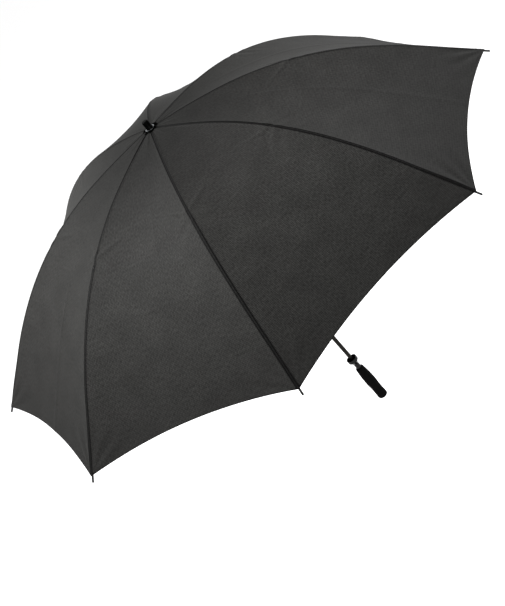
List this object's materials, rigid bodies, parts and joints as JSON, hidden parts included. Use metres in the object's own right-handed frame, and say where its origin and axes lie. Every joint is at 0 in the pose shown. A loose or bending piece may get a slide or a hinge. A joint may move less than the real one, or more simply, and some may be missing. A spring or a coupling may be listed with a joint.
{
  "type": "golf umbrella",
  "caption": "Large manual golf umbrella, open: dark woven canopy on folding ribs, slim metal shaft, sliding runner and short foam grip.",
  "frame": {"origin": "on the shaft's axis at the middle of the grip's straight band", "axes": "+Z along the shaft towards the ferrule, +X towards rib 1; ribs are numbered clockwise seen from above"},
  "size_m": [1.3172, 1.3172, 0.8994],
  "materials": {
    "shaft_steel": "satin gunmetal",
    "black_plastic": "moulded matt black",
    "wire_steel": "drawn wire",
    "canopy_cloth": "plain woven pongee, charcoal",
    "ring_metal": "turned",
    "ferrule_plastic": "moulded matt black",
    "cup_plastic": "moulded semi-gloss black",
    "grip_foam": "closed-cell foam, black",
    "button_plastic": "moulded black",
    "rib_steel": "black painted",
    "rib_fibreglass": "pultruded black",
    "tip_plastic": "moulded black"
  },
  "bodies": {
    "frame": {"shaft": "shaft_steel", "top_notch": "black_plastic", "notch_wire": "wire_steel", "rosette": "canopy_cloth", "ferrule_ring": "ring_metal", "ferrule": "ferrule_plastic", "tip_cup": "cup_plastic", "grip": "grip_foam"},
    "upper_1": {"rib_upper_1": "rib_steel"},
    "lower_1": {"rib_lower_1": "rib_fibreglass", "rib_tip_1": "tip_plastic"},
    "strut_1": {"stretcher_1": "rib_steel"},
    "panel_top_1": {"canopy_upper_1": "canopy_cloth"},
    "panel_hem_1": {"canopy_lower_1": "canopy_cloth"},
    "upper_2": {"rib_upper_2": "rib_steel"},
    "lower_2": {"rib_lower_2": "rib_fibreglass", "rib_tip_2": "tip_plastic"},
    "strut_2": {"stretcher_2": "rib_steel"},
    "panel_top_2": {"canopy_upper_2": "canopy_cloth"},
    "panel_hem_2": {"canopy_lower_2": "canopy_cloth"},
    "upper_3": {"rib_upper_3": "rib_steel"},
    "lower_3": {"rib_lower_3": "rib_fibreglass", "rib_tip_3": "tip_plastic"},
    "strut_3": {"stretcher_3": "rib_steel"},
    "panel_top_3": {"canopy_upper_3": "canopy_cloth"},
    "panel_hem_3": {"canopy_lower_3": "canopy_cloth"},
    "upper_4": {"rib_upper_4": "rib_steel"},
    "lower_4": {"rib_lower_4": "rib_fibreglass", "rib_tip_4": "tip_plastic"},
    "strut_4": {"stretcher_4": "rib_steel"},
    "panel_top_4": {"canopy_upper_4": "canopy_cloth"},
    "panel_hem_4": {"canopy_lower_4": "canopy_cloth"},
    "upper_5": {"rib_upper_5": "rib_steel"},
    "lower_5": {"rib_lower_5": "rib_fibreglass", "rib_tip_5": "tip_plastic"},
    "strut_5": {"stretcher_5": "rib_steel"},
    "panel_top_5": {"canopy_upper_5": "canopy_cloth"},
    "panel_hem_5": {"canopy_lower_5": "canopy_cloth"},
    "upper_6": {"rib_upper_6": "rib_steel"},
    "lower_6": {"rib_lower_6": "rib_fibreglass", "rib_tip_6": "tip_plastic"},
    "strut_6": {"stretcher_6": "rib_steel"},
    "panel_top_6": {"canopy_upper_6": "canopy_cloth"},
    "panel_hem_6": {"canopy_lower_6": "canopy_cloth"},
    "upper_7": {"rib_upper_7": "rib_steel"},
    "lower_7": {"rib_lower_7": "rib_fibreglass", "rib_tip_7": "tip_plastic"},
    "strut_7": {"stretcher_7": "rib_steel"},
    "panel_top_7": {"canopy_upper_7": "canopy_cloth"},
    "panel_hem_7": {"canopy_lower_7": "canopy_cloth"},
    "upper_8": {"rib_upper_8": "rib_steel"},
    "lower_8": {"rib_lower_8": "rib_fibreglass", "rib_tip_8": "tip_plastic"},
    "strut_8": {"stretcher_8": "rib_steel"},
    "panel_top_8": {"canopy_upper_8": "canopy_cloth"},
    "panel_hem_8": {"canopy_lower_8": "canopy_cloth"},
    "runner": {"runner": "black_plastic", "runner_wire": "wire_steel", "latch_spring": "wire_steel"},
    "latch": {"latch_button": "button_plastic"}
  },
  "joints": [
    {"name": "canopy_fold", "type": "hinge", "parent": "frame", "child": "upper_1", "pos_m": [0.01, 0, 0.81986], "axis": [0, 1, 0], "range_deg": [0, 75.9], "deforming": ["canopy_upper_1", "canopy_upper_2", "canopy_upper_3", "canopy_upper_4", "canopy_upper_5", "canopy_upper_6", "canopy_upper_7", "canopy_upper_8", "canopy_lower_1", "canopy_lower_2", "canopy_lower_3", "canopy_lower_4", "canopy_lower_5", "canopy_lower_6", "canopy_lower_7", "canopy_lower_8"]},
    {"name": "rib_bend_1", "type": "hinge", "parent": "upper_1", "child": "lower_1", "pos_m": [0.31171, 0, 0.75484], "axis": [0, 1, 0], "range_deg": [-21.27, 0]},
    {"name": "stretcher_fold_1", "type": "hinge", "parent": "upper_1", "child": "strut_1", "pos_m": [0.30976, 0, 0.75023], "axis": [0, 1, 0], "range_deg": [-151.81, 0]},
    {"name": "cloth_fold_1", "type": "hinge", "parent": "frame", "child": "panel_top_1", "pos_m": [0.01183, -0.0049, 0.82242], "axis": [0.3827, 0.9239, 0], "range_deg": [0, 74.41]},
    {"name": "cloth_bend_1", "type": "hinge", "parent": "panel_top_1", "child": "panel_hem_1", "pos_m": [0.26703, -0.11061, 0.75751], "axis": [0.3827, 0.9239, 0], "range_deg": [-23.01, 0]},
    {"name": "rib_fold_2", "type": "hinge", "parent": "frame", "child": "upper_2", "pos_m": [0.00707, -0.00707, 0.81986], "axis": [0.7071, 0.7071, 0], "range_deg": [0, 75.91]},
    {"name": "rib_bend_2", "type": "hinge", "parent": "upper_2", "child": "lower_2", "pos_m": [0.22041, -0.22041, 0.75484], "axis": [0.7071, 0.7071, 0], "range_deg": [-21.27, 0]},
    {"name": "stretcher_fold_2", "type": "hinge", "parent": "upper_2", "child": "strut_2", "pos_m": [0.21903, -0.21903, 0.75023], "axis": [0.7071, 0.7071, 0], "range_deg": [-151.81, 0]},
    {"name": "cloth_fold_2", "type": "hinge", "parent": "frame", "child": "panel_top_2", "pos_m": [0.0049, -0.01183, 0.82242], "axis": [0.9239, 0.3827, 0], "range_deg": [0, 74.41]},
    {"name": "cloth_bend_2", "type": "hinge", "parent": "panel_top_2", "child": "panel_hem_2", "pos_m": [0.11061, -0.26703, 0.75751], "axis": [0.9239, 0.3827, 0], "range_deg": [-23.01, 0]},
    {"name": "rib_fold_3", "type": "hinge", "parent": "frame", "child": "upper_3", "pos_m": [0, -0.01, 0.81986], "axis": [1, 0, 0], "range_deg": [0, 75.91]},
    {"name": "rib_bend_3", "type": "hinge", "parent": "upper_3", "child": "lower_3", "pos_m": [0, -0.31171, 0.75484], "axis": [1, 0, 0], "range_deg": [-21.27, 0]},
    {"name": "stretcher_fold_3", "type": "hinge", "parent": "upper_3", "child": "strut_3", "pos_m": [0, -0.30976, 0.75023], "axis": [1, 0, 0], "range_deg": [-151.81, 0]},
    {"name": "cloth_fold_3", "type": "hinge", "parent": "frame", "child": "panel_top_3", "pos_m": [-0.0049, -0.01183, 0.82242], "axis": [0.9239, -0.3827, 0], "range_deg": [0, 74.41]},
    {"name": "cloth_bend_3", "type": "hinge", "parent": "panel_top_3", "child": "panel_hem_3", "pos_m": [-0.11061, -0.26703, 0.75751], "axis": [0.9239, -0.3827, 0], "range_deg": [-23.01, 0]},
    {"name": "rib_fold_4", "type": "hinge", "parent": "frame", "child": "upper_4", "pos_m": [-0.00707, -0.00707, 0.81986], "axis": [0.7071, -0.7071, 0], "range_deg": [0, 75.91]},
    {"name": "rib_bend_4", "type": "hinge", "parent": "upper_4", "child": "lower_4", "pos_m": [-0.22041, -0.22041, 0.75484], "axis": [0.7071, -0.7071, 0], "range_deg": [-21.27, 0]},
    {"name": "stretcher_fold_4", "type": "hinge", "parent": "upper_4", "child": "strut_4", "pos_m": [-0.21903, -0.21903, 0.75023], "axis": [0.7071, -0.7071, 0], "range_deg": [-151.81, 0]},
    {"name": "cloth_fold_4", "type": "hinge", "parent": "frame", "child": "panel_top_4", "pos_m": [-0.01183, -0.0049, 0.82242], "axis": [0.3827, -0.9239, 0], "range_deg": [0, 74.41]},
    {"name": "cloth_bend_4", "type": "hinge", "parent": "panel_top_4", "child": "panel_hem_4", "pos_m": [-0.26703, -0.11061, 0.75751], "axis": [0.3827, -0.9239, 0], "range_deg": [-23.01, 0]},
    {"name": "rib_fold_5", "type": "hinge", "parent": "frame", "child": "upper_5", "pos_m": [-0.01, 0, 0.81986], "axis": [0, -1, 0], "range_deg": [0, 75.91]},
    {"name": "rib_bend_5", "type": "hinge", "parent": "upper_5", "child": "lower_5", "pos_m": [-0.31171, 0, 0.75484], "axis": [0, -1, 0], "range_deg": [-21.27, 0]},
    {"name": "stretcher_fold_5", "type": "hinge", "parent": "upper_5", "child": "strut_5", "pos_m": [-0.30976, 0, 0.75023], "axis": [0, -1, 0], "range_deg": [-151.81, 0]},
    {"name": "cloth_fold_5", "type": "hinge", "parent": "frame", "child": "panel_top_5", "pos_m": [-0.01183, 0.0049, 0.82242], "axis": [-0.3827, -0.9239, 0], "range_deg": [0, 74.41]},
    {"name": "cloth_bend_5", "type": "hinge", "parent": "panel_top_5", "child": "panel_hem_5", "pos_m": [-0.26703, 0.11061, 0.75751], "axis": [-0.3827, -0.9239, 0], "range_deg": [-23.01, 0]},
    {"name": "rib_fold_6", "type": "hinge", "parent": "frame", "child": "upper_6", "pos_m": [-0.00707, 0.00707, 0.81986], "axis": [-0.7071, -0.7071, 0], "range_deg": [0, 75.91]},
    {"name": "rib_bend_6", "type": "hinge", "parent": "upper_6", "child": "lower_6", "pos_m": [-0.22041, 0.22041, 0.75484], "axis": [-0.7071, -0.7071, 0], "range_deg": [-21.27, 0]},
    {"name": "stretcher_fold_6", "type": "hinge", "parent": "upper_6", "child": "strut_6", "pos_m": [-0.21903, 0.21903, 0.75023], "axis": [-0.7071, -0.7071, 0], "range_deg": [-151.81, 0]},
    {"name": "cloth_fold_6", "type": "hinge", "parent": "frame", "child": "panel_top_6", "pos_m": [-0.0049, 0.01183, 0.82242], "axis": [-0.9239, -0.3827, 0], "range_deg": [0, 74.41]},
    {"name": "cloth_bend_6", "type": "hinge", "parent": "panel_top_6", "child": "panel_hem_6", "pos_m": [-0.11061, 0.26703, 0.75751], "axis": [-0.9239, -0.3827, 0], "range_deg": [-23.01, 0]},
    {"name": "rib_fold_7", "type": "hinge", "parent": "frame", "child": "upper_7", "pos_m": [0, 0.01, 0.81986], "axis": [-1, 0, 0], "range_deg": [0, 75.91]},
    {"name": "rib_bend_7", "type": "hinge", "parent": "upper_7", "child": "lower_7", "pos_m": [0, 0.31171, 0.75484], "axis": [-1, 0, 0], "range_deg": [-21.27, 0]},
    {"name": "stretcher_fold_7", "type": "hinge", "parent": "upper_7", "child": "strut_7", "pos_m": [0, 0.30976, 0.75023], "axis": [-1, 0, 0], "range_deg": [-151.81, 0]},
    {"name": "cloth_fold_7", "type": "hinge", "parent": "frame", "child": "panel_top_7", "pos_m": [0.0049, 0.01183, 0.82242], "axis": [-0.9239, 0.3827, 0], "range_deg": [0, 74.41]},
    {"name": "cloth_bend_7", "type": "hinge", "parent": "panel_top_7", "child": "panel_hem_7", "pos_m": [0.11061, 0.26703, 0.75751], "axis": [-0.9239, 0.3827, 0], "range_deg": [-23.01, 0]},
    {"name": "rib_fold_8", "type": "hinge", "parent": "frame", "child": "upper_8", "pos_m": [0.00707, 0.00707, 0.81986], "axis": [-0.7071, 0.7071, 0], "range_deg": [0, 75.91]},
    {"name": "rib_bend_8", "type": "hinge", "parent": "upper_8", "child": "lower_8", "pos_m": [0.22041, 0.22041, 0.75484], "axis": [-0.7071, 0.7071, 0], "range_deg": [-21.27, 0]},
    {"name": "stretcher_fold_8", "type": "hinge", "parent": "upper_8", "child": "strut_8", "pos_m": [0.21903, 0.21903, 0.75023], "axis": [-0.7071, 0.7071, 0], "range_deg": [-151.81, 0]},
    {"name": "cloth_fold_8", "type": "hinge", "parent": "frame", "child": "panel_top_8", "pos_m": [0.01183, 0.0049, 0.82242], "axis": [-0.3827, 0.9239, 0], "range_deg": [0, 74.41]},
    {"name": "cloth_bend_8", "type": "hinge", "parent": "panel_top_8", "child": "panel_hem_8", "pos_m": [0.26703, 0.11061, 0.75751], "axis": [-0.3827, 0.9239, 0], "range_deg": [-23.01, 0]},
    {"name": "runner_travel", "type": "hinge", "parent": "strut_1", "child": "runner", "pos_m": [0.01, 0, 0.68061], "axis": [0, 1, 0], "range_deg": [0, 75.91]},
    {"name": "latch_press", "type": "slide", "parent": "runner", "child": "latch", "axis": [-0.9239, 0.3827, 0], "range_m": [0, 0.0015], "stiffness_N_per_m": 400, "springref_m": -0.0015, "deforming": ["latch_spring"]}
  ],
  "couplings": [
    {"joint": "rib_bend_1", "follows": "canopy_fold", "ratio": -0.2801},
    {"joint": "stretcher_fold_1", "follows": "canopy_fold", "ratio": -2},
    {"joint": "cloth_fold_1", "follows": "canopy_fold", "ratio": 0.98024},
    {"joint": "cloth_bend_1", "follows": "canopy_fold", "ratio": -0.30303},
    {"joint": "rib_fold_2", "follows": "canopy_fold", "ratio": 1},
    {"joint": "rib_bend_2", "follows": "canopy_fold", "ratio": -0.2801},
    {"joint": "stretcher_fold_2", "follows": "canopy_fold", "ratio": -2},
    {"joint": "cloth_fold_2", "follows": "canopy_fold", "ratio": 0.98024},
    {"joint": "cloth_bend_2", "follows": "canopy_fold", "ratio": -0.30303},
    {"joint": "rib_fold_3", "follows": "canopy_fold", "ratio": 1},
    {"joint": "rib_bend_3", "follows": "canopy_fold", "ratio": -0.2801},
    {"joint": "stretcher_fold_3", "follows": "canopy_fold", "ratio": -2},
    {"joint": "cloth_fold_3", "follows": "canopy_fold", "ratio": 0.98024},
    {"joint": "cloth_bend_3", "follows": "canopy_fold", "ratio": -0.30303},
    {"joint": "rib_fold_4", "follows": "canopy_fold", "ratio": 1},
    {"joint": "rib_bend_4", "follows": "canopy_fold", "ratio": -0.2801},
    {"joint": "stretcher_fold_4", "follows": "canopy_fold", "ratio": -2},
    {"joint": "cloth_fold_4", "follows": "canopy_fold", "ratio": 0.98024},
    {"joint": "cloth_bend_4", "follows": "canopy_fold", "ratio": -0.30303},
    {"joint": "rib_fold_5", "follows": "canopy_fold", "ratio": 1},
    {"joint": "rib_bend_5", "follows": "canopy_fold", "ratio": -0.2801},
    {"joint": "stretcher_fold_5", "follows": "canopy_fold", "ratio": -2},
    {"joint": "cloth_fold_5", "follows": "canopy_fold", "ratio": 0.98024},
    {"joint": "cloth_bend_5", "follows": "canopy_fold", "ratio": -0.30303},
    {"joint": "rib_fold_6", "follows": "canopy_fold", "ratio": 1},
    {"joint": "rib_bend_6", "follows": "canopy_fold", "ratio": -0.2801},
    {"joint": "stretcher_fold_6", "follows": "canopy_fold", "ratio": -2},
    {"joint": "cloth_fold_6", "follows": "canopy_fold", "ratio": 0.98024},
    {"joint": "cloth_bend_6", "follows": "canopy_fold", "ratio": -0.30303},
    {"joint": "rib_fold_7", "follows": "canopy_fold", "ratio": 1},
    {"joint": "rib_bend_7", "follows": "canopy_fold", "ratio": -0.2801},
    {"joint": "stretcher_fold_7", "follows": "canopy_fold", "ratio": -2},
    {"joint": "cloth_fold_7", "follows": "canopy_fold", "ratio": 0.98024},
    {"joint": "cloth_bend_7", "follows": "canopy_fold", "ratio": -0.30303},
    {"joint": "rib_fold_8", "follows": "canopy_fold", "ratio": 1},
    {"joint": "rib_bend_8", "follows": "canopy_fold", "ratio": -0.2801},
    {"joint": "stretcher_fold_8", "follows": "canopy_fold", "ratio": -2},
    {"joint": "cloth_fold_8", "follows": "canopy_fold", "ratio": 0.98024},
    {"joint": "cloth_bend_8", "follows": "canopy_fold", "ratio": -0.30303},
    {"joint": "runner_travel", "follows": "canopy_fold", "ratio": 1}
  ]
}
